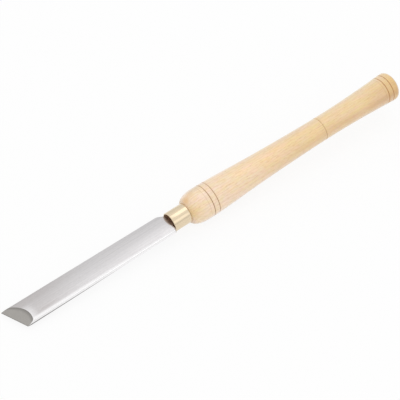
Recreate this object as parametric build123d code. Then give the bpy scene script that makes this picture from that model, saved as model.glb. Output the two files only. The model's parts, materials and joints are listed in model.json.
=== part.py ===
# Skew chisel for wood turning: an oval steel blade with a slanted, double-bevelled edge,
# a brass ferrule and a turned wooden handle.
#
# The tool is modelled along X, with X = 0 at the ferrule's mouth, the blade towards -X and
# the butt of the handle towards +X. Y runs across the blade, with the long corner of the
# edge, the toe, on +Y, and Z is square to the blade's flat faces. At the end the tool is
# laid down as it rests on a bench: on the belly of the handle and the underside of the blade,
# with the origin under the middle of its bounding box.
#
# All sizes are in millimetres and degrees.

import os
from math import cos, radians, sin, tan

from build123d import *

# Blade
blade_reach = 162.4  # along the axis, from the ferrule's mouth to the toe
blade_width_edge = 25.4  # across the blade at the cutting edge
blade_width_shoulder = 23.4  # across the blade at the shoulders
blade_thickness = 8.0  # at the middle of the crowned faces
side_radius = 2.8  # of the rounded narrow sides
skew_angle = 22.0  # slant of the edge, from square to the axis
bevel_angle = 20.8  # each bevel to the blade's middle plane
shoulder_gap = 0.8  # shoulders to the ferrule's mouth
toe_side_cut_length = 7.0  # along the blade, cut off the shoulder on the toe's side
toe_side_cut_width = 5.0  # the same cut, across the blade
heel_side_chamfer = 0.8  # cut off the shoulder on the heel's side, both ways
root_scoop_depth = 1.8  # hollow of the shoulders where the tang starts
root_scoop_width = 14.0
plain_length_margin = 2.0  # the bar's plain middle length stops this far from the cuts

# Tang, the tapered part of the blade inside the handle
tang_length = 86.0  # from the ferrule's mouth to its end
tang_overlap = 1.0  # how far the tang's taper starts inside the blade
tang_root_width = 12.0
tang_root_thickness = 5.0
tang_end_width = 6.0
tang_end_thickness = 3.6
tang_fit = 0.1  # space round the tang in the wood
tang_end_space = 2.0  # space past the tang's end

# Ferrule
ferrule_length = 17.8
ferrule_diameter = 18.4
ferrule_wall = 0.9
ferrule_rim_chamfer = 0.35  # bevel of the mouth's outer rim
spigot_recess = 4.5  # the wood stops this far inside the mouth
spigot_fit = 0.05  # space between the spigot and the ferrule

# Handle, with lengths taken from the ferrule's mouth unless they say from the butt
handle_length = 255.0
shoulder_face_width = 0.4  # flat ring of wood round the ferrule's back edge
belly_length = 32.7
belly_radius = 15.3
slope_length = 84.0  # a place on the slope from the belly to the waist
slope_radius = 13.3
neck_length = 130.0
neck_radius = 11.75
waist_from_butt = 79.0
waist_radius = 11.1
flare_from_butt = 40.0
flare_radius = 11.95
butt_radius = 13.7
butt_flare = 3.0  # slope of the side where it meets the rim
butt_rim_radius = 4.0
butt_dome = 8.0  # slope of the domed end where it meets the rim

# Grooves turned into the handle
groove_width = 1.1
groove_depth = 0.55
belly_grooves = (38.0, 43.4)
waist_groove = 167.9
butt_groove_from_butt = (13.6, 8.5)

# How many lengths the surface of the grip has, from the belly to the butt's rim
grip_lengths = 12

# How the resting tilt is found
steepest_tilt = 30.0
tilt_halvings = 24


def oval_section(width):
    """The blade's cross-section: two crowned faces running into round narrow sides."""
    half_width = width / 2
    half_thickness = blade_thickness / 2
    side_centre = half_width - side_radius
    crown_radius = (side_centre**2 + half_thickness**2 - side_radius**2) / (
        2 * (half_thickness - side_radius)
    )
    crown_centre = half_thickness - crown_radius
    stretch = crown_radius / (crown_radius - side_radius)
    meet_y = side_centre * stretch
    meet_z = crown_centre - crown_centre * stretch
    top = ThreePointArc((-meet_y, meet_z), (0, half_thickness), (meet_y, meet_z))
    heel_side = ThreePointArc((meet_y, meet_z), (half_width, 0), (meet_y, -meet_z))
    bottom = ThreePointArc((meet_y, -meet_z), (0, -half_thickness), (-meet_y, -meet_z))
    toe_side = ThreePointArc((-meet_y, -meet_z), (-half_width, 0), (-meet_y, meet_z))
    return make_face([top, heel_side, bottom, toe_side])


def square_to_axis(x):
    """A plane across the tool at x, whose own X runs along the tool's Y."""
    return Plane(origin=(x, 0, 0), x_dir=(0, 1, 0), z_dir=(1, 0, 0))


def bar_section(x):
    """The bar's cross-section at x, where its width lies between those of its two ends."""
    share = (x + blade_reach) / (blade_reach - shoulder_gap)
    width = blade_width_edge + share * (blade_width_shoulder - blade_width_edge)
    return square_to_axis(x) * oval_section(width)


def blade_bar():
    """The oval bar, slightly narrower at the shoulders than at the edge."""
    skew_depth = blade_width_edge * tan(radians(skew_angle))
    bevel_depth = blade_thickness / 2 / tan(radians(bevel_angle)) / cos(radians(skew_angle))
    plain_start = -blade_reach + skew_depth + bevel_depth + plain_length_margin
    plain_end = -shoulder_gap - toe_side_cut_length - plain_length_margin
    places = (-blade_reach, plain_start, plain_end, -shoulder_gap)
    return loft([bar_section(x) for x in places], ruled=True)


def edge_wedge():
    """The space between the planes of the two bevels, which meet in the slanted edge."""
    reach = 2 * blade_reach
    rise = reach * tan(radians(bevel_angle))
    profile = Plane.XZ * Polygon((0, 0), (reach, rise), (reach, -rise), align=None)
    wedge = extrude(profile, amount=2 * blade_reach, both=True)
    toe = (-blade_reach, blade_width_edge / 2, 0)
    return Pos(*toe) * Rot(0, 0, skew_angle) * wedge


def shoulder_corner(side, length, width):
    """What a slanting cut takes off one shoulder, on the side where Y has this sign."""
    half_width = blade_width_edge / 2
    corner_y = blade_width_shoulder / 2 - width
    past = half_width - corner_y
    outline = Plane.XY * Polygon(
        (-shoulder_gap, side * corner_y),
        (-shoulder_gap - past * length / width, side * half_width),
        (0, side * half_width),
        (0, side * corner_y),
        align=None,
    )
    return extrude(outline, amount=blade_thickness, both=True)


def root_scoop():
    """The round hollow across the shoulders from which the tang starts."""
    half_chord = root_scoop_width / 2
    radius = (half_chord**2 + root_scoop_depth**2) / (2 * root_scoop_depth)
    centre = radius - root_scoop_depth - shoulder_gap
    return Pos(centre, 0, 0) * Cylinder(radius, 2 * blade_thickness)


def tang_solid(spare, end_spare):
    """The tapered tang, grown by spare all round and by end_spare in length."""
    start = -shoulder_gap - root_scoop_depth - tang_overlap
    root = square_to_axis(start) * Rectangle(
        tang_root_width + 2 * spare, tang_root_thickness + 2 * spare
    )
    end = square_to_axis(tang_length + end_spare) * Rectangle(
        tang_end_width + 2 * spare, tang_end_thickness + 2 * spare
    )
    return loft([root, end], ruled=True)


def blade():
    """Blade and tang, which are one piece of steel."""
    steel = blade_bar() & edge_wedge()
    steel -= shoulder_corner(1, toe_side_cut_length, toe_side_cut_width)
    steel -= shoulder_corner(-1, heel_side_chamfer, heel_side_chamfer)
    steel -= root_scoop()
    return steel + tang_solid(0, 0)


def ferrule():
    """The brass tube round the handle's spigot, with an open mouth."""
    radius = ferrule_diameter / 2
    tube = Rot(0, 90, 0) * Cylinder(
        radius, ferrule_length, align=(Align.CENTER, Align.CENTER, Align.MIN)
    )
    mouth_edge = tube.edges().filter_by(GeomType.CIRCLE).sort_by(Axis.X)[0]
    tube = chamfer(mouth_edge, ferrule_rim_chamfer)
    bore = Rot(0, 90, 0) * Cylinder(radius - ferrule_wall, 2 * ferrule_length)
    return tube - bore


def handle_outline():
    """Half of the handle's outline, from the spigot's end round to the butt."""
    ferrule_radius = ferrule_diameter / 2
    spigot_radius = ferrule_radius - ferrule_wall - spigot_fit
    face_radius = ferrule_radius + shoulder_face_width
    flare = radians(butt_flare)
    dome = radians(butt_dome)
    rim_end_radius = butt_radius - butt_rim_radius * (cos(flare) - sin(dome))
    dome_height = rim_end_radius * tan(dome / 2)
    rim_start = handle_length - dome_height - butt_rim_radius * (sin(flare) + cos(dome))

    spigot = Polyline(
        (spigot_recess, 0),
        (spigot_recess, spigot_radius),
        (ferrule_length, spigot_radius),
        (ferrule_length, face_radius),
    )
    shoulder = EllipticalCenterArc(
        (belly_length, face_radius),
        belly_length - ferrule_length,
        belly_radius - face_radius,
        start_angle=90,
        arc_size=90,
    )
    grip_curve = Spline(
        (belly_length, belly_radius),
        (slope_length, slope_radius),
        (neck_length, neck_radius),
        (handle_length - waist_from_butt, waist_radius),
        (handle_length - flare_from_butt, flare_radius),
        (rim_start, butt_radius),
        tangents=[(1, 0), (cos(flare), sin(flare))],
    )
    grip = [
        grip_curve.trim(number / grip_lengths, (number + 1) / grip_lengths)
        for number in range(grip_lengths)
    ]
    rim_turn = -(90 + butt_flare - butt_dome)
    rim = JernArc((rim_start, butt_radius), grip_curve % 1, butt_rim_radius, rim_turn)
    end = TangentArc(rim @ 1, (handle_length, 0), tangent=rim % 1)
    middle = Line((handle_length, 0), (spigot_recess, 0))
    return make_face([spigot, shoulder, *grip, rim, end, middle])


def groove(wood, x):
    """The ring that a groove at x takes out of the wood, pointed at its bottom."""
    disc = wood & (square_to_axis(x) * Circle(2 * belly_radius))
    radius = disc.bounding_box().size.Y / 2
    slope = groove_width / 2 / groove_depth
    profile = Plane.XY * Polygon(
        (x, radius - groove_depth),
        (x + slope * 2 * groove_depth, radius + groove_depth),
        (x - slope * 2 * groove_depth, radius + groove_depth),
        align=None,
    )
    return revolve(profile, Axis.X)


def handle():
    """The turned handle, with its grooves and the pocket for the tang."""
    wood = revolve(handle_outline(), Axis.X)
    places = list(belly_grooves) + [waist_groove]
    places += [handle_length - setback for setback in butt_groove_from_butt]
    cuts = [groove(wood, x) for x in places]
    for cut in cuts:
        wood -= cut
    return wood - tang_solid(tang_fit, tang_end_space)


def lowest(solid, tilt):
    """The lowest height of a solid, when the tool's butt is raised by tilt degrees."""
    return (Rot(0, -tilt, 0) * solid).bounding_box().min.Z


def resting_tilt(front, back):
    """The tilt at which the front and the back solid both touch the bench, by halving."""
    low = 0.0
    high = steepest_tilt
    for _ in range(tilt_halvings):
        tilt = (low + high) / 2
        if lowest(front, tilt) > lowest(back, tilt):
            low = tilt
        else:
            high = tilt
    return tilt


def resting_place(pieces):
    """Where the tool's frame lies at rest, with the origin under the middle of all pieces."""
    tilt = resting_tilt(pieces["blade"], pieces["handle"])
    tilted = [Rot(0, -tilt, 0) * solid for solid in pieces.values()]
    box = Compound(children=tilted).bounding_box()
    return Pos(-box.center().X, -box.center().Y, -box.min.Z) * Rot(0, -tilt, 0)


os.makedirs("parts", exist_ok=True)
tool = {"blade": blade(), "ferrule": ferrule(), "handle": handle()}
place = resting_place(tool)
print("ferrule's mouth at", place.position, "turned by", place.orientation)
for name, solid in tool.items():
    export_step(place * solid, f"parts/{name}.step")
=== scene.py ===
# A skew chisel for wood turning: a ground steel blade, a brass ferrule and a turned handle of
# pale wood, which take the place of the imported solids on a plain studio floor.
#
# Every piece is modelled along X with the ferrule's mouth at the origin, the blade towards -X,
# the toe of the edge on +Y and the blade's faces square to Z. It is then laid down where the
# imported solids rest. Sizes are in metres and radians, and finishes work in millimetres.

import json
from math import atan2, cos, pi, radians, sin, tan

import bmesh
import bpy
import numpy as np
from mathutils import Matrix, Vector


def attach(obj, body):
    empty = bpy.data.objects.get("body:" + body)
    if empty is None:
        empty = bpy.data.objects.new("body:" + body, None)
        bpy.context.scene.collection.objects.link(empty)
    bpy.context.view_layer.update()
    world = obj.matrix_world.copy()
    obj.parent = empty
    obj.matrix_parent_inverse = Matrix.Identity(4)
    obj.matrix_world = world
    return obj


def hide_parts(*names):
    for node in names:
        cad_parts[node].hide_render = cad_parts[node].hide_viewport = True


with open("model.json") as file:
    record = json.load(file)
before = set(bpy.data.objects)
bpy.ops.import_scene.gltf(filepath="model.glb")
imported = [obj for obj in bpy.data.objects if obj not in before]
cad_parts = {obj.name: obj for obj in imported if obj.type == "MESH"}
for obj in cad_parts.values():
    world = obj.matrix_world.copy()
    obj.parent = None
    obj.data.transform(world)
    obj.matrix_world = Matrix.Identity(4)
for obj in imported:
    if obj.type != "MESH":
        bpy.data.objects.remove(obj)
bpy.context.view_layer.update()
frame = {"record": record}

bl_info = {
    "name": "Skew Chisel",
    "version": (1, 0, 0),
    "blender": (4, 5, 0),
    "location": "3D View > Sidebar > Skew Chisel",
    "description": "Models a skew chisel with a ground blade, a brass ferrule and a turned handle",
    "category": "Object",
}

MM = 0.001
BODY = "root"
SAME_PLACE = 1e-6
ALONG_TOOL = (1, 0, 0)
ACROSS_TOOL = (0, 1, 0)
WHITE = (1.0, 1.0, 1.0)


def length(name, description, millimetres):
    """A size that a user can change."""
    return bpy.props.FloatProperty(
        name=name, description=description, default=millimetres * MM, unit="LENGTH", precision=4
    )


def angle(name, description, degrees):
    """An angle that a user can change."""
    return bpy.props.FloatProperty(
        name=name, description=description, default=radians(degrees), unit="ROTATION"
    )


def share(name, description, default):
    """A number from nothing to one that a user can change."""
    return bpy.props.FloatProperty(
        name=name, description=description, default=default, min=0, max=1, subtype="FACTOR"
    )


def glow(name, description, default):
    """A brightness that a user can change."""
    return bpy.props.FloatProperty(name=name, description=description, default=default, min=0)


def watts(name, description, default):
    """A lamp's power that a user can change."""
    return bpy.props.FloatProperty(
        name=name, description=description, default=default, min=0, unit="POWER"
    )


def position(name, description, millimetres):
    """A place that a user can change."""
    place = tuple(MM * part for part in millimetres)
    return bpy.props.FloatVectorProperty(
        name=name, description=description, default=place, size=3, subtype="XYZ", unit="LENGTH"
    )


def colour(name, description, default):
    """A colour that a user can change."""
    return bpy.props.FloatVectorProperty(
        name=name, description=description, default=default, size=3, min=0, max=1, subtype="COLOR"
    )


class BladeSizes(bpy.types.PropertyGroup):
    """Sizes of the blade and its tang."""

    reach: length("Reach", "Along the axis, from the ferrule's mouth to the toe", 162.4)
    edge_width: length("Width at the edge", "Across the blade at the cutting edge", 25.4)
    shoulder_width: length("Width at the shoulders", "Across the blade at its shoulders", 23.4)
    thickness: length("Thickness", "At the middle of the crowned faces", 8.0)
    side_radius: length("Side radius", "Of the rounded narrow sides", 2.8)
    skew: angle("Skew", "Slant of the edge, from square to the axis", 22.0)
    bevel: angle("Bevel", "Each bevel to the blade's middle plane", 20.8)
    gap: length("Gap", "From the shoulders to the ferrule's mouth", 0.8)
    toe_cut_length: length("Toe-side cut", "Off that shoulder, along the blade", 7.0)
    toe_cut_width: length("Toe-side cut width", "Off that shoulder, across the blade", 5.0)
    toe_cut_round: length("Toe-side cut rounding", "Radius where it leaves the narrow side", 8.0)
    heel_chamfer: length("Chamfer on the heel's side", "Cut off that shoulder", 0.8)
    scoop_depth: length("Scoop depth", "Hollow of the shoulders round the tang", 1.8)
    scoop_width: length("Scoop width", "Across that hollow", 14.0)
    tang_length: length("Tang length", "From the ferrule's mouth to its end", 86.0)
    tang_root_width: length("Tang root width", "Across the tang at the blade", 12.0)
    tang_root_thickness: length("Tang root thickness", "Of the tang at the blade", 5.0)
    tang_end_width: length("Tang end width", "Across the tang at its end", 6.0)
    tang_end_thickness: length("Tang end thickness", "Of the tang at its end", 3.6)
    edge_break: length("Edge break", "Softening of the shoulders' sharp edges", 0.25)


class FerruleSizes(bpy.types.PropertyGroup):
    """Sizes of the brass tube."""

    length: length("Length", "Along the axis", 17.8)
    diameter: length("Diameter", "Outside", 18.4)
    wall: length("Wall", "Thickness of the tube", 0.9)
    rim_radius: length("Rim radius", "Rounding of the mouth's outer rim", 0.35)
    edge_break: length("Edge break", "Softening of the other edges", 0.12)


class HandleSizes(bpy.types.PropertyGroup):
    """Sizes of the turned handle. Lengths run from the ferrule's mouth, or from the butt."""

    length: length("Length", "From the ferrule's mouth to the butt", 255.0)
    recess: length("Recess", "The wood stops this far inside the mouth", 4.5)
    spigot_fit: length("Spigot fit", "Space between the spigot and the ferrule", 0.05)
    shoulder_face: length("Shoulder face", "Flat ring round the ferrule's back edge", 0.4)
    belly_length: length("Belly", "Where the handle is thickest", 32.7)
    belly_radius: length("Belly radius", "Of the thickest place", 15.3)
    slope_length: length("Slope", "A place between the belly and the neck", 84.0)
    slope_radius: length("Slope radius", "Of that place", 13.3)
    neck_length: length("Neck", "Where the slope ends", 130.0)
    neck_radius: length("Neck radius", "Of that place", 11.75)
    waist_from_butt: length("Waist from the butt", "Where the handle is thinnest", 79.0)
    waist_radius: length("Waist radius", "Of the thinnest place", 11.1)
    flare_from_butt: length("Flare from the butt", "Where the butt's flare has begun", 40.0)
    flare_radius: length("Flare radius", "Of that place", 11.95)
    butt_radius: length("Butt radius", "Of the flared end", 13.7)
    butt_flare: angle("Butt flare", "Slope of the side where it meets the rim", 3.0)
    butt_rim_radius: length("Butt rim radius", "Rounding of the butt's edge", 4.0)
    butt_dome: angle("Butt dome", "Slope of the domed end where it meets the rim", 8.0)
    groove_width: length("Groove width", "Of the turned grooves", 1.1)
    groove_depth: length("Groove depth", "Of the turned grooves", 0.55)
    first_groove: length("First groove", "On the belly", 38.0)
    second_groove: length("Second groove", "On the belly", 43.4)
    waist_groove: length("Waist groove", "Between the neck and the waist", 167.9)
    fourth_groove: length("Fourth groove from the butt", "On the flare", 13.6)
    fifth_groove: length("Fifth groove from the butt", "On the flare", 8.5)
    groove_round: length("Groove rounding", "Softening of the grooves' lips", 0.1)
    tang_fit: length("Tang fit", "Space round the tang in the wood", 0.1)
    tang_end_space: length("Space past the tang", "At the end of its pocket", 2.0)


class Finishes(bpy.types.PropertyGroup):
    """Colours and gloss of the steel, the brass and the wood."""

    steel: colour("Steel", "Brushed faces of the blade", (0.790, 0.771, 0.777))
    # The polished narrow side's bright colour is partly a painted highlight
    polished_highlight_steel: colour("Polished steel", "The narrow side at the heel", (0.94, 0.93, 0.935))
    ground_steel: colour("Ground steel", "The bevels", (0.36, 0.343, 0.323))
    # The tang's darkness is partly painted shade inside the ferrule's mouth
    tang: colour("Tang", "The dark steel inside the ferrule", (0.34, 0.25, 0.19))
    steel_roughness: share("Steel roughness", "Of the brushed faces", 0.38)
    bevel_roughness: share("Bevel roughness", "Of the ground bevels", 0.42)
    brass: colour("Brass", "The ferrule", (0.80, 0.665, 0.475))
    tarnish: colour("Tarnish", "The inside of the ferrule", (0.62, 0.45, 0.32))
    brass_roughness: share("Brass roughness", "Of the ferrule", 0.17)
    cream: colour("Cream", "The wood at the belly", (0.965, 0.775, 0.575))
    honey: colour("Honey", "The wood towards the butt", (0.895, 0.68, 0.39))
    tan: colour("Tan", "Grain lines of the wood", (0.66, 0.38, 0.18))
    # Amber is a painted warm reflection of the brass, with painted shade, on the wood beside the
    # ferrule
    amber: colour("Amber", "Painted warm reflection and shade of the brass on the wood beside the ferrule", (0.80, 0.50, 0.22))
    burnt: colour("Burnt", "Bottoms of the turned grooves", (0.42, 0.235, 0.10))
    scorched: colour("Scorched", "Bottoms of the grooves at the butt", (0.50, 0.22, 0.03))
    end_grain: colour("End grain", "Where the surface cuts across the grain", (0.60, 0.38, 0.20))
    wood_roughness: share("Wood roughness", "Of the wood under its clear coat", 0.42)
    lacquer: share("Lacquer", "Strength of the clear coat on the wood", 0.50)


class StageLook(bpy.types.PropertyGroup):
    """Camera, floor, room and lamps."""

    target: position("Target", "The point in the middle of the picture", (-10.33, 4.40, 14.29))
    distance: length("Distance", "From the camera to that point", 1126.7)
    elevation: angle("Elevation", "Of the camera above the floor", 48.034)
    turn: angle("Turn", "Of the camera round the tool, from looking along +Y", 36.533)
    roll: angle("Roll", "Of the camera about its own line of sight", -0.826)
    lens: bpy.props.FloatProperty(
        name="Lens", description="Focal length on a 36 mm sensor", default=116.76, unit="CAMERA"
    )
    floor: colour("Floor", "The floor under the tool", (0.92, 0.92, 0.92))
    floor_glow: share("Floor glow", "How much of the floor shows plain white", 0.88)
    horizon: glow("Horizon", "Brightness of the room at eye level", 0.80)
    zenith: glow("Zenith", "Brightness of the room overhead", 1.02)
    key_place: position("Key place", "Of the soft lamp overhead", (500, 160, 1150))
    key_width: length("Key width", "Of the soft lamp overhead", 750)
    key_power: watts("Key power", "Of the soft lamp overhead", 0.85)
    fill_place: position("Fill place", "Of the soft lamp in front", (390, -1040, 680))
    fill_width: length("Fill width", "Of the soft lamp in front", 600)
    fill_power: watts("Fill power", "Of the soft lamp in front", 0.38)


# Modelling


def select_only(*pieces):
    """Selects these pieces and no others, and makes the last of them the active one."""
    bpy.ops.object.select_all(action="DESELECT")
    for piece in pieces:
        piece.select_set(True)
        bpy.context.view_layer.objects.active = piece


class Pen:
    """Draws an outline in edit mode, edge by edge, from the vertex that it drew last."""

    def __init__(self, name, start):
        select_only()
        bpy.ops.mesh.primitive_plane_add(size=1)
        self.piece = bpy.context.object
        self.piece.name = name
        bpy.ops.object.mode_set(mode="EDIT")
        bpy.ops.mesh.merge(type="CENTER")
        bpy.ops.transform.translate(value=start)
        self.point = Vector(start)

    def line(self, end):
        """A straight edge to the point end."""
        end = Vector(end)
        bpy.ops.mesh.extrude_region_move(TRANSFORM_OT_translate={"value": end - self.point})
        self.point = end

    def arc(self, centre, axis, turn, steps):
        """An arc about the axis through centre, by the right-hand rule."""
        bpy.ops.mesh.spin(steps=steps, angle=-turn, center=centre, axis=axis)
        centre = Vector(centre)
        self.point = centre + Matrix.Rotation(turn, 3, Vector(axis)) @ (self.point - centre)

    def curve(self, height, end, spacing):
        """Along height, which gives Z from X, until X is end."""
        start = self.point.x
        steps = max(1, round(abs(end - start) / spacing))
        for step in range(1, steps + 1):
            x = start + (end - start) * step / steps
            self.line((x, 0, height(x)))


def select_where(piece, wanted):
    """Selects the vertices of a piece in edit mode whose place passes the test, and no others."""
    bpy.ops.mesh.select_mode(type="VERT")
    bpy.ops.mesh.select_all(action="DESELECT")
    mesh = bmesh.from_edit_mesh(piece.data)
    for vertex in mesh.verts:
        vertex.select = wanted(vertex.co)
    mesh.select_flush_mode()
    bmesh.update_edit_mesh(piece.data)


def select_edges(piece, wanted):
    """Selects the edges of a piece in edit mode that pass the test, and no others."""
    bpy.ops.mesh.select_mode(type="EDGE")
    bpy.ops.mesh.select_all(action="DESELECT")
    mesh = bmesh.from_edit_mesh(piece.data)
    for edge in mesh.edges:
        edge.select_set(wanted(edge))
    bmesh.update_edit_mesh(piece.data)


def turn_on_lathe():
    """Spins the outline in edit mode into a closed turned shape round the tool's axis."""
    steps = 128
    bpy.ops.mesh.select_all(action="SELECT")
    bpy.ops.mesh.spin(steps=steps, angle=2 * pi, center=(0, 0, 0), axis=ALONG_TOOL)
    bpy.ops.mesh.select_all(action="SELECT")
    bpy.ops.mesh.remove_doubles(threshold=SAME_PLACE)
    bpy.ops.mesh.normals_make_consistent(inside=False)
    bpy.ops.object.mode_set(mode="OBJECT")


def boolean(piece, tool, operation):
    """Cuts the tool from the piece or joins it on, and deletes the tool."""
    select_only(piece)
    bpy.ops.object.modifier_add(type="BOOLEAN")
    modifier = piece.modifiers[-1]
    modifier.operation = operation
    modifier.solver = "EXACT"
    modifier.object = tool
    bpy.ops.object.modifier_apply(modifier=modifier.name)
    select_only(tool)
    bpy.ops.object.delete()


def close_slivers(piece):
    """Merges the nearly equal points that a cut or a join leaves in a piece."""
    sliver = 5 * SAME_PLACE
    select_only(piece)
    bpy.ops.object.mode_set(mode="EDIT")
    bpy.ops.mesh.select_all(action="SELECT")
    bpy.ops.mesh.remove_doubles(threshold=sliver)
    bpy.ops.mesh.dissolve_degenerate(threshold=SAME_PLACE)
    bpy.ops.object.mode_set(mode="OBJECT")


def cut_plane(point, normal):
    """Cuts away what lies on the normal's side of a plane, and closes the cut."""
    bpy.ops.mesh.select_all(action="SELECT")
    bpy.ops.mesh.bisect(plane_co=point, plane_no=normal, use_fill=True, clear_outer=True)


def hand_grip():
    """The record's mount at the waist of the handle, which says how the tool rests."""
    return next(mount for mount in frame["record"]["mounts"] if mount["name"] == "hand_grip")


def resting_axis():
    """The direction of the tool's axis at rest, towards the butt."""
    return Vector(hand_grip()["axis"]).normalized()


def resting_mouth():
    """Where the middle of the ferrule's mouth rests."""
    sizes = bpy.context.scene.skew_handle
    waist = Vector(hand_grip()["pos_m"])
    return waist - resting_axis() * (sizes.length - sizes.waist_from_butt)


def resting_turn():
    """How far the tool is turned about Y at rest, with its butt raised."""
    axis = resting_axis()
    return -atan2(axis.z, axis.x)


def finish_piece(piece, name, node, sharp):
    """Smooths a piece where it bends by less than sharp degrees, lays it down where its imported
    solid rests and hands it to the frame."""
    piece.name = name
    select_only(piece)
    bpy.ops.object.shade_smooth_by_angle(angle=radians(sharp))
    piece.rotation_euler = (0, resting_turn(), 0)
    piece.location = resting_mouth()
    bpy.ops.object.transform_apply(location=True, rotation=True, scale=True)
    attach(piece, BODY)
    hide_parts(node)


# Shading


class Value:
    """A shader socket. Sums written with it add Math nodes to its finish."""

    def __init__(self, finish, socket):
        self.finish = finish
        self.socket = socket

    def __add__(self, other):
        return self.finish.maths("ADD", self, other)

    def __sub__(self, other):
        return self.finish.maths("SUBTRACT", self, other)

    def __rsub__(self, other):
        return self.finish.maths("SUBTRACT", other, self)

    def __mul__(self, other):
        return self.finish.maths("MULTIPLY", self, other)

    def __truediv__(self, other):
        return self.finish.maths("DIVIDE", self, other)

    def __pow__(self, other):
        return self.finish.maths("POWER", self, other)

    def __abs__(self):
        return self.finish.maths("ABSOLUTE", self)

    def __neg__(self):
        return self.finish.maths("MULTIPLY", self, -1.0)

    __radd__ = __add__
    __rmul__ = __mul__


class Finish:
    """A node tree under construction, of a material or of the world."""

    def __init__(self, owner):
        owner.use_nodes = True
        self.tree = owner.node_tree
        self.tree.nodes.clear()

    def node(self, kind, settings=None, inputs=None, output=0):
        """Adds a node, makes its settings and then fills its sockets with values or links."""
        node = self.tree.nodes.new(kind)
        for name, value in (settings or {}).items():
            setattr(node, name, value)
        for name, value in (inputs or {}).items():
            if isinstance(value, Value):
                self.tree.links.new(value.socket, node.inputs[name])
            else:
                node.inputs[name].default_value = value
        return Value(self, node.outputs[output]) if node.outputs else None

    def maths(self, operation, *values):
        """A Math node."""
        return self.node("ShaderNodeMath", {"operation": operation}, dict(enumerate(values)))

    def vector(self, operation, *values, output=0):
        """A Vector Math node."""
        settings = {"operation": operation}
        return self.node("ShaderNodeVectorMath", settings, dict(enumerate(values)), output)

    def mix(self, amount, one, other, blend="MIX"):
        """One colour going over into the other as the amount goes from nothing to one."""
        # The node has sockets for numbers and vectors too: 6, 7 and output 2 are the colours
        settings = {"data_type": "RGBA", "blend_type": blend}
        inputs = {0: amount, 6: opaque(one), 7: opaque(other)}
        return self.node("ShaderNodeMix", settings, inputs, 2)

    def tinted(self, base, tint):
        """A colour seen through another."""
        return self.mix(1.0, base, tint, "MULTIPLY")

    def veiled(self, base, amount, tint):
        """A colour seen through another as far as the amount says."""
        return self.mix(amount, base, self.tinted(base, tint))

    def ease(self, value, low, high):
        """Nothing below low, one above high, and a smooth step between them."""
        settings = {"interpolation_type": "SMOOTHSTEP"}
        inputs = {"Value": value, "From Min": low, "From Max": high}
        return self.node("ShaderNodeMapRange", settings, inputs)

    def fade(self, value, low, high):
        """One below low, nothing above high, and a smooth step between them."""
        return 1 - self.ease(value, low, high)

    def noise(self, place, cell, detail=2.0, roughness=0.5):
        """Noise from nothing to one, of cells this long, wide and high in millimetres."""
        cells = self.vector("DIVIDE", place, cell)
        inputs = {"Vector": cells, "Scale": 1.0, "Detail": detail, "Roughness": roughness}
        return self.node("ShaderNodeTexNoise", {}, inputs)

    def stain(self, place, centre, reach):
        """One in the middle of an oval stain, and nothing beyond its reach along each axis."""
        offset = self.vector("DIVIDE", self.vector("SUBTRACT", place, centre), reach)
        return self.fade(self.vector("LENGTH", offset, output="Value"), 0.2, 1.0)

    def tool_place(self):
        """The place on the tool in millimetres, along its own axes from the ferrule's mouth."""
        place = self.node("ShaderNodeTexCoord", {}, {}, "Object")
        inputs = {
            "Vector": place,
            "Location": resting_mouth(),
            "Rotation": (0, resting_turn(), 0),
            "Scale": (MM, MM, MM),
        }
        return self.node("ShaderNodeMapping", {"vector_type": "TEXTURE"}, inputs)

    def split(self, place):
        """The X, Y and Z of a place."""
        node = self.node("ShaderNodeSeparateXYZ", {}, {"Vector": place}).socket.node
        return [Value(self, socket) for socket in node.outputs]

    def bump(self, height, distance, strength=1.0):
        """A normal from a height map whose full height is a distance in millimetres."""
        inputs = {"Height": height, "Distance": distance * MM, "Strength": strength}
        return self.node("ShaderNodeBump", {}, inputs)

    def surface(self, inputs):
        """Ends the tree in a Principled surface."""
        shader = self.node("ShaderNodeBsdfPrincipled", {}, inputs)
        self.node("ShaderNodeOutputMaterial", {}, {"Surface": shader})


def opaque(value):
    """A colour with its alpha, or a linked colour as it is."""
    return value if isinstance(value, Value) else (*value, 1.0)


def shaded(tone, factor):
    """A colour made darker by a factor below one, or lighter by one above it."""
    return tuple(factor * channel for channel in tone)


def about(level, swing, noise):
    """A level that noise from nothing to one moves by half the swing either way."""
    return level + swing * (noise - 0.5)


def new_finish(name):
    """A new material, the finish that builds it and the place on the tool that it reads."""
    material = bpy.data.materials.new(name)
    finish = Finish(material)
    return material, finish, finish.tool_place()


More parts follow.
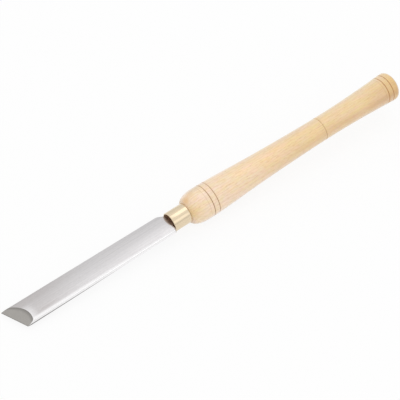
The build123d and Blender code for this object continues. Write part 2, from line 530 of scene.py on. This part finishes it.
def brushed_steel():
    """Steel brushed along the blade, with painted shade, a painted reflection and painted
    highlights, and one polished narrow side.
    """
    looks = bpy.context.scene.skew_finishes
    sizes = bpy.context.scene.skew_blade
    hair_grey = (0.45, 0.45, 0.46)
    shade_brown = (0.25, 0.19, 0.155)
    material, steel, place = new_finish("brushed steel")
    x, y, z = steel.split(place)

    hairs = steel.noise(place, (30.0, 0.25, 0.25), detail=3.0)
    streaks = steel.noise(place, (80.0, 0.9, 0.9), detail=1.0)
    grit = steel.noise(place, (2.5, 0.8, 0.8), detail=1.0)
    clouds = steel.noise(place, (25.0, 9.0, 9.0))
    brushing = 0.55 * streaks + 0.45 * grit
    base = steel.mix(brushing, shaded(looks.steel, 0.69), looks.steel)
    base = steel.mix(0.12 * hairs, base, hair_grey)

    # Painted shade towards the edge and on the toe's side, a painted dark reflection on the heel's
    # side, and a painted highlight as a bright lip beside the bevel
    lip_end = -137.0
    lip_highlight = steel.fade(x, -147.0, lip_end) * steel.ease(-y, -6.0, 4.0)
    edge_shade = steel.fade(x, lip_end, -88.0) * (1 - lip_highlight)
    toe_side_shade = steel.ease(y, 1.0, 7.0) * steel.fade(x, -110.0, -70.0)
    dark_reflection = steel.stain(place, (-130.0, -7.7, 3.2), (13.0, 1.6, 3.0))
    painted_shade = 0.14 * edge_shade + 0.07 * toe_side_shade + 0.11 * dark_reflection
    base = steel.mix(painted_shade, base, shade_brown)
    base = steel.mix(0.5 * lip_highlight, base, looks.polished_highlight_steel)

    # The heel's narrow side is polished and carries a painted highlight, and a painted shadow lies
    # along its lower corner towards the edge
    polished = steel.ease(-y, 9.2, 11.2)
    base = steel.mix(polished, base, looks.polished_highlight_steel)
    at_tip = steel.fade(x, -150.0, -100.0)
    shadowed_corner = steel.ease(0.4 * at_tip - z, -0.6, 0.5) * steel.ease(-y, 9.5, 10.8)
    shadow = shaded(looks.ground_steel, 0.45)
    base = steel.mix(0.95 * shadowed_corner * steel.fade(x, -112.0, -45.0), base, shadow)

    # The tang is dark from the hollow of the shoulders on, partly its own scale and partly painted
    # shade in the ferrule's mouth, and painted shade darkens the blade's last one and a half
    # millimetres before the shoulders
    half_scoop = sizes.scoop_width / 2 / MM
    hollow = steel.maths("MAXIMUM", 1 - y * y / half_scoop**2, 0.0) * (sizes.scoop_depth / MM)
    past_shoulders = x + sizes.gap / MM + hollow
    base = steel.mix(0.9 * steel.ease(past_shoulders, -1.5, -0.3), base, looks.tang)

    roughness = about(about(looks.steel_roughness, 0.08, hairs), 0.10, clouds)
    steel.surface({
        "Base Color": base,
        "Metallic": 1.0,
        "Roughness": roughness - 0.12 * polished,
        "Normal": steel.bump(hairs, 0.02, 0.6),
    })
    return material


def ground_steel():
    """Steel as ground on the bevels, darker where they meet the faces and along the edge."""
    looks = bpy.context.scene.skew_finishes
    sizes = bpy.context.scene.skew_blade
    bright_marks = (0.50, 0.485, 0.46)
    material, steel, place = new_finish("ground steel")
    _, y, z = steel.split(place)

    radius, centre = crown(sizes.edge_width)
    face = (centre / MM) + ((radius / MM) ** 2 - y * y) ** 0.5
    rim = steel.fade(face - abs(z), 0.0, 1.3)
    lip = steel.fade(abs(z), 0.0, 0.32)

    across = (cos(sizes.skew), sin(sizes.skew), 0)
    along = (-sin(sizes.skew), cos(sizes.skew), 0)
    from_edge = steel.vector("DOT_PRODUCT", place, across, output="Value")
    on_edge = steel.vector("DOT_PRODUCT", place, along, output="Value")
    marks_place = steel.node("ShaderNodeCombineXYZ", {}, {"X": from_edge, "Y": on_edge})
    marks = steel.noise(marks_place, (9.0, 0.22, 1.0), detail=3.0)
    clouds = steel.noise(place, (6.0, 5.0, 5.0))

    base = steel.mix(0.35 * marks + 0.3 * clouds, looks.ground_steel, bright_marks)
    dark = shaded(looks.ground_steel, 0.62)
    base = steel.mix(0.75 * steel.maths("MAXIMUM", rim, lip), base, dark)
    steel.surface({
        "Base Color": base,
        "Metallic": 1.0,
        "Roughness": about(looks.bevel_roughness, 0.12, marks),
        "Normal": steel.bump(marks, 0.01, 0.5),
    })
    return material


def drawn_brass():
    """Bright drawn brass tube, with faint draw lines along it and a dulled inside under painted
    light and shade.
    """
    looks = bpy.context.scene.skew_finishes
    sizes = bpy.context.scene.skew_ferrule
    material, brass, place = new_finish("drawn brass")
    x, y, z = brass.split(place)

    lines = brass.noise(place, (22.0, 0.35, 0.35), detail=3.0)
    clouds = brass.noise(place, (5.0, 3.0, 3.0))
    base = brass.mix(0.35 * clouds, looks.brass, shaded(looks.brass, 0.9))

    # The inside is tarnished, with painted shade behind the mouth's rim and painted light deeper
    # in
    from_axis = (y * y + z * z) ** 0.5
    bore = (sizes.diameter / 2 - sizes.wall) / MM
    inside = brass.fade(from_axis, bore + 0.1, bore + 0.3)
    rim_shade = brass.fade(x, 0.5, 2.2)
    tarnish = brass.mix(rim_shade, shaded(looks.tarnish, 1.5), shaded(looks.tarnish, 0.45))
    base = brass.mix(0.9 * inside, base, tarnish)
    brass.surface({
        "Base Color": base,
        "Metallic": 1 - 0.8 * inside,
        "Roughness": about(looks.brass_roughness, 0.08, lines) + 0.3 * inside,
        "Normal": brass.bump(lines, 0.012, 0.6),
    })
    return material


def wood_tone(wood, place):
    """The wood under its grain lines: cream at the belly, honey at the butt and mottled, with
    painted shade on the near and lower sides and a painted sheen on the far side.
    """
    looks = bpy.context.scene.skew_finishes
    pinkish, yellowish = (1.0, 0.98, 1.02), (1.0, 0.99, 0.85)
    rosy, greenish = (1.0, 0.955, 0.97), (0.97, 0.985, 0.96)
    x, y, z = wood.split(place)
    base = wood.mix(wood.ease(x, 30.0, 155.0), looks.cream, looks.honey)

    broad = wood.noise(place, (16.0, 6.0, 6.0), detail=1.0)
    small = wood.noise(place, (5.0, 2.0, 2.0), detail=1.0)
    mottle = wood.ease(0.6 * broad + 0.4 * small, 0.38, 0.62)
    base = wood.tinted(base, wood.mix(mottle, pinkish, yellowish))
    flush = wood.ease(wood.noise(place, (11.0, 2.5, 2.5), detail=1.0), 0.40, 0.60)
    base = wood.tinted(base, wood.mix(flush, rosy, greenish))

    clouds = wood.ease(wood.noise(place, (28.0, 7.0, 7.0)), 0.45, 0.65)
    clouds = clouds * wood.ease(x, 60.0, 200.0)
    butt_start = 232.0
    butt = wood.ease(x, butt_start, 256.0)
    # Painted shade on the near side at the butt and on the lower side, and a painted sheen on the
    # far side
    butt_near_shade = wood.ease(x, 208.0, butt_start) * wood.fade(y, -10.0, -1.0)
    far_side_sheen = wood.ease(x, 90.0, 130.0) * wood.ease(y, -1.5, 3.5)
    low_side_shade = wood.fade(z, 2.5, 9.0) * (0.55 + 0.45 * wood.ease(z, -1.0, 4.0))
    low_side_shade = low_side_shade * wood.ease(x, 40.0, 240.0)
    for region, tint in (
        (clouds, (0.95, 0.94, 0.92)),
        (butt, (0.95, 0.87, 0.61)),
        (butt_near_shade, (0.90, 0.87, 0.81)),
        (far_side_sheen, (1.0, 1.035, 1.13)),
        (low_side_shade, (0.87, 0.78, 0.74)),
    ):
        base = wood.veiled(base, region, tint)
    return base


def growth_rings(wood, place):
    """Growth rings, which cut the side that faces up and to the camera in straight lines."""
    pith_y, pith_z = 55.0, 39.0
    ring_width = 2.3
    waver_reach = 5.0
    ripple_reach = 0.9
    late_start, late_end = 0.2, 0.9
    _, y, z = wood.split(place)
    waver = wood.noise(place, (80.0, 16.0, 16.0), detail=1.0) - 0.5
    ripple = wood.noise(place, (14.0, 3.0, 3.0)) - 0.5
    from_pith = ((y - pith_y) * (y - pith_y) + (z - pith_z) * (z - pith_z)) ** 0.5
    bent = from_pith + waver_reach * waver + ripple_reach * ripple
    rings = wood.maths("FRACT", bent / ring_width)
    return wood.ease(rings, late_start, late_end) * wood.fade(rings, late_end, 1.0)


def burnt_rings(wood, x, rings):
    """How burnt the wood is near rings round the tool, each given by its place and strength."""
    half_width = bpy.context.scene.skew_handle.groove_width / 2
    full_burn = 0.3 * half_width / MM
    no_burn = 1.15 * half_width / MM
    burn = 0.0
    for place, strength in rings:
        burn = burn + strength * wood.fade(abs(x - place / MM), full_burn, no_burn)
    return burn


# Marks on the wood, in millimetres: their middle, their reach and their strength
# The amber marks are a painted warm reflection of the brass ferrule, with painted shade, on the
# wood beside it
AMBER_REFLECTIONS = (
    ((19.5, 2.5, 12.0), (6.0, 6.0, 6.0), 0.80),
    ((26.0, 4.5, 13.5), (6.0, 5.0, 5.0), 0.40),
)
RIM_MARK = ((252.8, -12.6, 0.6), (2.0, 2.0, 3.0), 0.7)

# Painted shade and painted highlights on the wood, as tinted patches: their middle, their reach
# and the tint
PAINTED_LIGHT_PATCHES = (
    ((17.0, -9.0, 8.0), (13.0, 10.0, 10.0), (0.95, 0.91, 0.66)),
    ((34.0, 8.5, 13.0), (14.0, 6.0, 6.0), (0.86, 0.85, 0.80)),
    ((32.5, -1.0, 15.3), (8.0, 6.0, 6.0), (1.03, 1.06, 1.13)),
    ((98.0, -4.0, 12.0), (48.0, 9.0, 9.0), (1.05, 1.02, 0.98)),
)

# How burnt each groove is, and where two fine scribed lines are and how burnt
GROOVE_BURNS = (0.9, 0.75, 0.4, 0.9, 0.8)
SCRIBED_LINES = ((34.4 * MM, 0.2), (238.6 * MM, 0.2))


def marked(wood, place, base):
    """The wood's colour with the painted reflection of the brass, painted light and shade in
    patches, a burnt mark at the butt's rim and the burnt bottoms of its grooves, darker by painted
    shade on the near side.
    """
    looks = bpy.context.scene.skew_finishes
    x, y, _ = wood.split(place)
    for centre, reach, strength in AMBER_REFLECTIONS:
        base = wood.mix(strength * wood.stain(place, centre, reach), base, looks.amber)
    for centre, reach, tint in PAINTED_LIGHT_PATCHES:
        base = wood.veiled(base, wood.stain(place, centre, reach), tint)
    centre, reach, strength = RIM_MARK
    base = wood.mix(strength * wood.stain(place, centre, reach), base, looks.burnt)

    grooves = burnt_rings(wood, x, zip(groove_places(), GROOVE_BURNS))
    # The grooves are burnt, and painted shade makes them darker on the near side
    near_side = wood.fade(y, -12.0, 6.0)
    groove_colour = wood.mix(wood.ease(x, 200.0, 230.0), looks.burnt, looks.scorched)
    base = wood.mix((0.6 + 0.4 * near_side) * grooves, base, groove_colour)
    return wood.mix(burnt_rings(wood, x, SCRIBED_LINES), base, looks.burnt)


def turned_wood():
    """Pale wood with fine grain along the handle, burnt grooves and a few stains."""
    looks = bpy.context.scene.skew_finishes
    material, wood, place = new_finish("turned pale wood")

    late_wood = growth_rings(wood, place)
    fibres = wood.noise(place, (16.0, 0.5, 0.5), detail=3.0, roughness=0.6)
    dashes = wood.ease(wood.noise(place, (4.5, 0.75, 0.75)), 0.48, 0.72)
    base = wood_tone(wood, place)
    base = wood.mix(0.16 * late_wood, base, looks.tan)
    base = wood.mix(0.24 * wood.ease(fibres, 0.45, 0.75), base, looks.tan)
    base = wood.mix(0.40 * dashes, base, looks.tan)

    normal = wood.node("ShaderNodeTexCoord", {}, {}, "Normal")
    axis = tuple(resting_axis())
    across_grain = abs(wood.vector("DOT_PRODUCT", normal, axis, output="Value"))
    x = wood.split(place)[0]
    end_share = 0.15 + 0.6 * wood.ease(x, 200.0, 250.0)
    base = wood.mix(end_share * wood.ease(across_grain, 0.2, 0.85), base, looks.end_grain)

    grain = 0.6 * fibres + 0.4 * late_wood
    wood.surface({
        "Base Color": marked(wood, place, base),
        "Roughness": about(looks.wood_roughness, 0.16, fibres),
        "Specular IOR Level": 0.4,
        "Coat Weight": looks.lacquer,
        "Coat Roughness": 0.22,
        "Coat IOR": 1.6,
        "Sheen Weight": 0.6,
        "Sheen Roughness": 0.5,
        "Normal": wood.bump(grain - 0.5 * dashes, 0.04, 0.6),
    })
    return material


# Pieces


def crown(width):
    """Radius and height of the centre of the crowned faces, where the blade is this wide."""
    sizes = bpy.context.scene.skew_blade
    side_centre = width / 2 - sizes.side_radius
    half = sizes.thickness / 2
    rise = half - sizes.side_radius
    radius = (side_centre**2 + half**2 - sizes.side_radius**2) / (2 * rise)
    return radius, half - radius


def oval_outline(name, x, width):
    """The blade's closed cross-section at x: two crowned faces and two round narrow sides."""
    crown_steps = 28
    side_steps = 16
    sizes = bpy.context.scene.skew_blade
    radius, centre = crown(width)
    side_centre = width / 2 - sizes.side_radius
    half_crown = atan2(side_centre, -centre)
    half_side = pi / 2 - half_crown
    stretch = radius / (radius - sizes.side_radius)
    start = (x, side_centre * stretch, centre - centre * stretch)
    pen = Pen(name, start)
    for side in (1, -1):
        pen.arc((x, 0, side * centre), ALONG_TOOL, 2 * half_crown, crown_steps)
        pen.arc((x, -side * side_centre, 0), ALONG_TOOL, 2 * half_side, side_steps)
    bpy.ops.mesh.select_all(action="SELECT")
    bpy.ops.mesh.remove_doubles(threshold=SAME_PLACE)
    bpy.ops.object.mode_set(mode="OBJECT")
    return pen.piece


def blade_bar(sizes):
    """The oval bar between its cross-section at the edge and the one at the shoulders."""
    cross_cuts = 11
    bar = oval_outline("blade", -sizes.reach, sizes.edge_width)
    end = oval_outline("shoulder outline", -sizes.gap, sizes.shoulder_width)
    select_only(end, bar)
    bpy.ops.object.join()
    bpy.ops.object.mode_set(mode="EDIT")
    bpy.ops.mesh.select_all(action="SELECT")
    bpy.ops.mesh.bridge_edge_loops(number_cuts=cross_cuts)
    for x in (-sizes.reach, -sizes.gap):
        select_where(bar, lambda place: abs(place.x - x) < SAME_PLACE)
        bpy.ops.mesh.edge_face_add()
    bpy.ops.mesh.select_all(action="SELECT")
    bpy.ops.mesh.normals_make_consistent(inside=False)
    return bar


def tapered_block(name, start, end, start_size, end_size):
    """A block along X whose width and thickness go from one size to another."""
    select_only()
    bpy.ops.mesh.primitive_cube_add(size=1, location=((start + end) / 2, 0, 0))
    block = bpy.context.object
    block.name = name
    block.scale = (end - start, 1, 1)
    bpy.ops.object.transform_apply(location=True, rotation=True, scale=True)
    bpy.ops.object.mode_set(mode="EDIT")
    for x, (width, thickness) in ((start, start_size), (end, end_size)):
        select_where(block, lambda place: abs(place.x - x) < SAME_PLACE)
        bpy.ops.transform.resize(value=(1, width, thickness), center_override=(x, 0, 0))
    bpy.ops.object.mode_set(mode="OBJECT")
    return block


def tang_block(name, spare, end_spare):
    """The tapered tang, grown by spare all round and by end_spare in length."""
    sizes = bpy.context.scene.skew_blade
    inside_blade = 1.0 * MM
    start = -sizes.gap - sizes.scoop_depth - inside_blade
    root = (sizes.tang_root_width + 2 * spare, sizes.tang_root_thickness + 2 * spare)
    tip = (sizes.tang_end_width + 2 * spare, sizes.tang_end_thickness + 2 * spare)
    return tapered_block(name, start, sizes.tang_length + end_spare, root, tip)


def grind_bevels(sizes):
    """Cuts the two bevels, which meet in the slanted edge, and returns their outward normals."""
    toe = (-sizes.reach, sizes.edge_width / 2, 0)
    normals = []
    for side in (1, -1):
        normal = Vector((
            -sin(sizes.bevel) * cos(sizes.skew),
            -sin(sizes.bevel) * sin(sizes.skew),
            side * cos(sizes.bevel),
        ))
        cut_plane(toe, normal)
        normals.append(normal)
    return normals


def cut_shoulders(blade, sizes):
    """Cuts the slanting corners off the shoulders and softens the edges left there."""
    round_steps = 6
    soft_steps = 3
    sharp = radians(30)
    half_width = sizes.shoulder_width / 2
    cut_plane((-sizes.gap, sizes.heel_chamfer - half_width, 0), (1, -1, 0))
    slant = atan2(sizes.toe_cut_width, sizes.toe_cut_length)
    radius = sizes.toe_cut_round
    start = -sizes.gap - sizes.toe_cut_length - radius * tan(slant / 2)
    for step in range(1, round_steps + 1):
        turn = slant * step / round_steps
        outward = Vector((sin(turn), cos(turn), 0))
        cut_plane(Vector((start, half_width - radius, 0)) + radius * outward, outward)
    near_shoulders = -sizes.gap - 2 * sizes.toe_cut_length

    def is_shoulder_edge(edge):
        """Whether the edge is a sharp one at the shoulder end."""
        at_end = all(vertex.co.x > near_shoulders for vertex in edge.verts)
        return at_end and len(edge.link_faces) == 2 and edge.calc_face_angle() > sharp

    select_edges(blade, is_shoulder_edge)
    bpy.ops.mesh.bevel(offset=sizes.edge_break, segments=soft_steps)


def scoop_cutter(sizes):
    """The upright round bar that hollows the shoulders round the tang."""
    facets = 192
    half_chord = sizes.scoop_width / 2
    radius = (half_chord**2 + sizes.scoop_depth**2) / (2 * sizes.scoop_depth)
    centre = radius - sizes.scoop_depth - sizes.gap
    select_only()
    bpy.ops.mesh.primitive_cylinder_add(
        vertices=facets, radius=radius, depth=3 * sizes.thickness, location=(centre, 0, 0)
    )
    bpy.ops.object.transform_apply(location=True, rotation=True, scale=True)
    return bpy.context.object


def give_materials(piece, *materials):
    """Gives a piece its materials, of which the first covers all its faces."""
    piece.data.materials.clear()
    for material in materials:
        piece.data.materials.append(material)


def cover_bevels(blade, normals):
    """Covers the faces that look along one of the normals with the blade's second material."""
    same_way = 0.9999
    for face in blade.data.polygons:
        face.material_index = int(any(face.normal.dot(normal) > same_way for normal in normals))


class SKEW_OT_blade(bpy.types.Operator):
    """Models the oval blade with its skewed double bevel, its shoulders and its tang"""

    bl_idname = "skew_chisel.blade"
    bl_label = "Blade"

    def execute(self, context):
        sizes = context.scene.skew_blade
        blade = blade_bar(sizes)
        normals = grind_bevels(sizes)
        cut_shoulders(blade, sizes)
        bpy.ops.object.mode_set(mode="OBJECT")
        boolean(blade, scoop_cutter(sizes), "DIFFERENCE")
        boolean(blade, tang_block("tang", 0, 0), "UNION")
        close_slivers(blade)
        give_materials(blade, brushed_steel(), ground_steel())
        cover_bevels(blade, normals)
        finish_piece(blade, "ground_blade", "blade", sharp=18)
        return {"FINISHED"}


class SKEW_OT_ferrule(bpy.types.Operator):
    """Turns the brass ferrule, an open tube with a rounded mouth"""

    bl_idname = "skew_chisel.ferrule"
    bl_label = "Ferrule"

    def execute(self, context):
        sizes = context.scene.skew_ferrule
        rim_steps = 6
        soft_steps = 3
        outside = sizes.diameter / 2
        bore = outside - sizes.wall
        rim = sizes.rim_radius
        soft = sizes.edge_break
        pen = Pen("ferrule", (sizes.length, 0, outside - soft))
        pen.arc((sizes.length - soft, 0, outside - soft), ACROSS_TOOL, -pi / 2, soft_steps)
        pen.line((rim, 0, outside))
        pen.arc((rim, 0, outside - rim), ACROSS_TOOL, -pi / 2, rim_steps)
        pen.line((0, 0, bore + soft))
        pen.arc((soft, 0, bore + soft), ACROSS_TOOL, -pi / 2, soft_steps)
        pen.line((sizes.length, 0, bore))
        pen.line((sizes.length, 0, outside - soft))
        turn_on_lathe()
        give_materials(pen.piece, drawn_brass())
        finish_piece(pen.piece, "brass_ferrule", "ferrule", sharp=35)
        return {"FINISHED"}


def groove_places():
    """Where the turned grooves are, from the ferrule's mouth."""
    sizes = bpy.context.scene.skew_handle
    return [
        sizes.first_groove,
        sizes.second_groove,
        sizes.waist_groove,
        sizes.length - sizes.fourth_groove,
        sizes.length - sizes.fifth_groove,
    ]


def smooth_height(points, start_slope, end_slope):
    """The smooth curve through points with these end slopes, as a function from X to Z."""
    xs = [point[0] for point in points]
    zs = [point[1] for point in points]
    count = len(points)
    sums = np.zeros((count, count))
    given = np.zeros(count)
    sums[0, 0] = sums[-1, -1] = 1
    given[0] = start_slope
    given[-1] = end_slope
    for i in range(1, count - 1):
        before = xs[i] - xs[i - 1]
        after = xs[i + 1] - xs[i]
        sums[i, i - 1 : i + 2] = 1 / before, 2 / before + 2 / after, 1 / after
        rise_before = (zs[i] - zs[i - 1]) / before**2
        rise_after = (zs[i + 1] - zs[i]) / after**2
        given[i] = 3 * (rise_before + rise_after)
    slopes = np.linalg.solve(sums, given)

    def height(x):
        i = min(max(int(np.searchsorted(xs, x)) - 1, 0), count - 2)
        span = xs[i + 1] - xs[i]
        t = (x - xs[i]) / span
        from_first = (1 + 2 * t) * zs[i] + t * span * slopes[i]
        from_second = (3 - 2 * t) * zs[i + 1] - (1 - t) * span * slopes[i + 1]
        return float((1 - t) ** 2 * from_first + t**2 * from_second)

    return height


def handle_outline(sizes, spigot_radius, ferrule_sizes):
    """Draws half of the handle's outline, from the spigot's end round to the butt."""
    shoulder_steps = 20
    rim_steps = 12
    dome_steps = 6
    spacing = 2.5 * MM
    face_radius = ferrule_sizes.diameter / 2 + sizes.shoulder_face
    rim_drop = sizes.butt_rim_radius * (cos(sizes.butt_flare) - sin(sizes.butt_dome))
    rim_end_radius = sizes.butt_radius - rim_drop
    dome_height = rim_end_radius * tan(sizes.butt_dome / 2)
    rim_reach = sizes.butt_rim_radius * (sin(sizes.butt_flare) + cos(sizes.butt_dome))
    rim_start = sizes.length - dome_height - rim_reach
    shoulder_reach = sizes.belly_length - ferrule_sizes.length
    shoulder_rise = sizes.belly_radius - face_radius
    grip = smooth_height(
        [
            (sizes.belly_length, sizes.belly_radius),
            (sizes.slope_length, sizes.slope_radius),
            (sizes.neck_length, sizes.neck_radius),
            (sizes.length - sizes.waist_from_butt, sizes.waist_radius),
            (sizes.length - sizes.flare_from_butt, sizes.flare_radius),
            (rim_start, sizes.butt_radius),
        ],
        0,
        tan(sizes.butt_flare),
    )

    pen = Pen("handle", (sizes.recess, 0, 0))
    pen.line((sizes.recess, 0, spigot_radius))
    pen.line((ferrule_sizes.length, 0, spigot_radius))
    pen.line((ferrule_sizes.length, 0, face_radius))
    for step in range(1, shoulder_steps + 1):
        turn = pi / 2 * step / shoulder_steps
        x = sizes.belly_length - shoulder_reach * cos(turn)
        pen.line((x, 0, face_radius + shoulder_rise * sin(turn)))
    half_groove = sizes.groove_width / 2
    for groove in groove_places():
        pen.curve(grip, groove - half_groove, spacing)
        pen.line((groove, 0, grip(groove) - sizes.groove_depth))
        pen.line((groove + half_groove, 0, grip(groove + half_groove)))
    pen.curve(grip, rim_start, spacing)
    lean = Vector((sin(sizes.butt_flare), 0, -cos(sizes.butt_flare)))
    rim_turn = pi / 2 + sizes.butt_flare - sizes.butt_dome
    pen.arc(pen.point + lean * sizes.butt_rim_radius, ACROSS_TOOL, rim_turn, rim_steps)
    dome_radius = pen.point.z / sin(sizes.butt_dome)
    pen.arc((sizes.length - dome_radius, 0, 0), ACROSS_TOOL, sizes.butt_dome, dome_steps)
    return pen.piece


def soften_grooves(handle, sizes):
    """Rounds the lips and the bottoms of the grooves in the outline."""
    soft_steps = 3
    half_groove = sizes.groove_width / 2
    corners = [groove + side * half_groove for groove in groove_places() for side in (-1, 0, 1)]

    def is_corner(place):
        """Whether a place on the outline is a groove's lip or its bottom."""
        return any(abs(place.x - corner) < SAME_PLACE for corner in corners)

    select_where(handle, is_corner)
    bpy.ops.mesh.bevel(affect="VERTICES", offset=sizes.groove_round, segments=soft_steps)


class SKEW_OT_handle(bpy.types.Operator):
    """Turns the wooden handle, with its grooves and the pocket for the tang"""

    bl_idname = "skew_chisel.handle"
    bl_label = "Handle"

    def execute(self, context):
        sizes = context.scene.skew_handle
        ferrule_sizes = context.scene.skew_ferrule
        bore = ferrule_sizes.diameter / 2 - ferrule_sizes.wall
        handle = handle_outline(sizes, bore - sizes.spigot_fit, ferrule_sizes)
        soften_grooves(handle, sizes)
        turn_on_lathe()
        pocket = tang_block("tang pocket", sizes.tang_fit, sizes.tang_end_space)
        boolean(handle, pocket, "DIFFERENCE")
        give_materials(handle, turned_wood())
        finish_piece(handle, "turned_handle", "handle", sharp=40)
        return {"FINISHED"}


# Stage


def floor_finish(look):
    """A pale floor that the camera sees as near white and that still takes a soft shadow."""
    material = bpy.data.materials.new("pale floor")
    floor = Finish(material)
    paint = floor.node("ShaderNodeBsdfDiffuse", {}, {"Color": opaque(look.floor)})
    white = floor.node("ShaderNodeEmission", {}, {"Color": opaque(WHITE), "Strength": 1.0})
    rays = floor.node("ShaderNodeLightPath").socket.node.outputs
    seen = Value(floor, rays["Is Camera Ray"]) + Value(floor, rays["Is Glossy Ray"])
    seen = floor.maths("MINIMUM", seen + Value(floor, rays["Is Transmission Ray"]), 1.0)
    mixing = {0: look.floor_glow * seen, 1: paint, 2: white}
    shader = floor.node("ShaderNodeMixShader", {}, mixing)
    floor.node("ShaderNodeOutputMaterial", {}, {"Surface": shader})
    return material


def light_room(look):
    """A plain room, a little brighter overhead than at eye level."""
    world = bpy.data.worlds.new("plain room")
    bpy.context.scene.world = world
    room = Finish(world)
    direction = room.node("ShaderNodeTexCoord", {}, {}, "Generated")
    height = room.split(direction)[2]
    overhead = room.maths("MAXIMUM", height, 0.0)
    grey = look.horizon + (look.zenith - look.horizon) * overhead
    light = room.node("ShaderNodeBackground", {}, {"Color": opaque(WHITE), "Strength": grey})
    room.node("ShaderNodeOutputWorld", {}, {"Surface": light})


def soft_lamp(name, place, size, power):
    """A square soft lamp that faces the tool."""
    select_only()
    bpy.ops.object.light_add(type="AREA", location=place)
    lamp = bpy.context.object
    lamp.name = name
    lamp.data.shape = "SQUARE"
    lamp.data.size = size
    lamp.data.energy = power
    lamp.rotation_euler = (-Vector(place)).to_track_quat("-Z", "Y").to_euler()


def place_camera(look):
    """The camera, at the photograph's viewing angle."""
    sensor_width = 36.0
    select_only()
    bpy.ops.object.camera_add()
    camera = bpy.context.object
    forward = Vector((
        sin(look.turn) * cos(look.elevation),
        cos(look.turn) * cos(look.elevation),
        -sin(look.elevation),
    ))
    eye = Vector(look.target) - forward * look.distance
    turn = forward.to_track_quat("-Z", "Y").to_matrix() @ Matrix.Rotation(look.roll, 3, "Z")
    camera.matrix_world = Matrix.Translation(eye) @ turn.to_4x4()
    camera.data.sensor_width = sensor_width
    camera.data.lens = look.lens
    bpy.context.scene.camera = camera


class SKEW_OT_stage(bpy.types.Operator):
    """Sets the floor, the room, the lamps and the camera"""

    bl_idname = "skew_chisel.stage"
    bl_label = "Stage"

    def execute(self, context):
        look = context.scene.skew_stage
        floor_width = 8.0
        select_only()
        bpy.ops.mesh.primitive_plane_add(size=floor_width)
        floor = bpy.context.object
        floor.name = "floor"
        floor.data.materials.append(floor_finish(look))
        light_room(look)
        soft_lamp("key lamp", look.key_place, look.key_width, look.key_power)
        soft_lamp("fill lamp", look.fill_place, look.fill_width, look.fill_power)
        place_camera(look)
        context.scene.view_settings.view_transform = "Standard"
        return {"FINISHED"}


class SKEW_PT_panel(bpy.types.Panel):
    """Lists the steps that make the skew chisel"""

    bl_label = "Skew Chisel"
    bl_idname = "SKEW_PT_panel"
    bl_space_type = "VIEW_3D"
    bl_region_type = "UI"
    bl_category = "Skew Chisel"

    def draw(self, context):
        for step in STEPS:
            self.layout.operator(step.bl_idname)


STEPS = (SKEW_OT_stage, SKEW_OT_blade, SKEW_OT_ferrule, SKEW_OT_handle)
SETTINGS = {
    "skew_blade": BladeSizes,
    "skew_ferrule": FerruleSizes,
    "skew_handle": HandleSizes,
    "skew_finishes": Finishes,
    "skew_stage": StageLook,
}


def register():
    """Adds the settings, the steps and the panel to Blender."""
    for group in SETTINGS.values():
        bpy.utils.register_class(group)
    for name, group in SETTINGS.items():
        setattr(bpy.types.Scene, name, bpy.props.PointerProperty(type=group))
    for step in STEPS:
        bpy.utils.register_class(step)
    bpy.utils.register_class(SKEW_PT_panel)


def unregister():
    """Takes them out again."""
    bpy.utils.unregister_class(SKEW_PT_panel)
    for step in reversed(STEPS):
        bpy.utils.unregister_class(step)
    for name in SETTINGS:
        delattr(bpy.types.Scene, name)
    for group in SETTINGS.values():
        bpy.utils.unregister_class(group)


def main():
    """Makes the stage and every piece."""
    register()
    bpy.ops.skew_chisel.stage()
    bpy.ops.skew_chisel.blade()
    bpy.ops.skew_chisel.ferrule()
    bpy.ops.skew_chisel.handle()


if __name__ == "__main__":
    main()
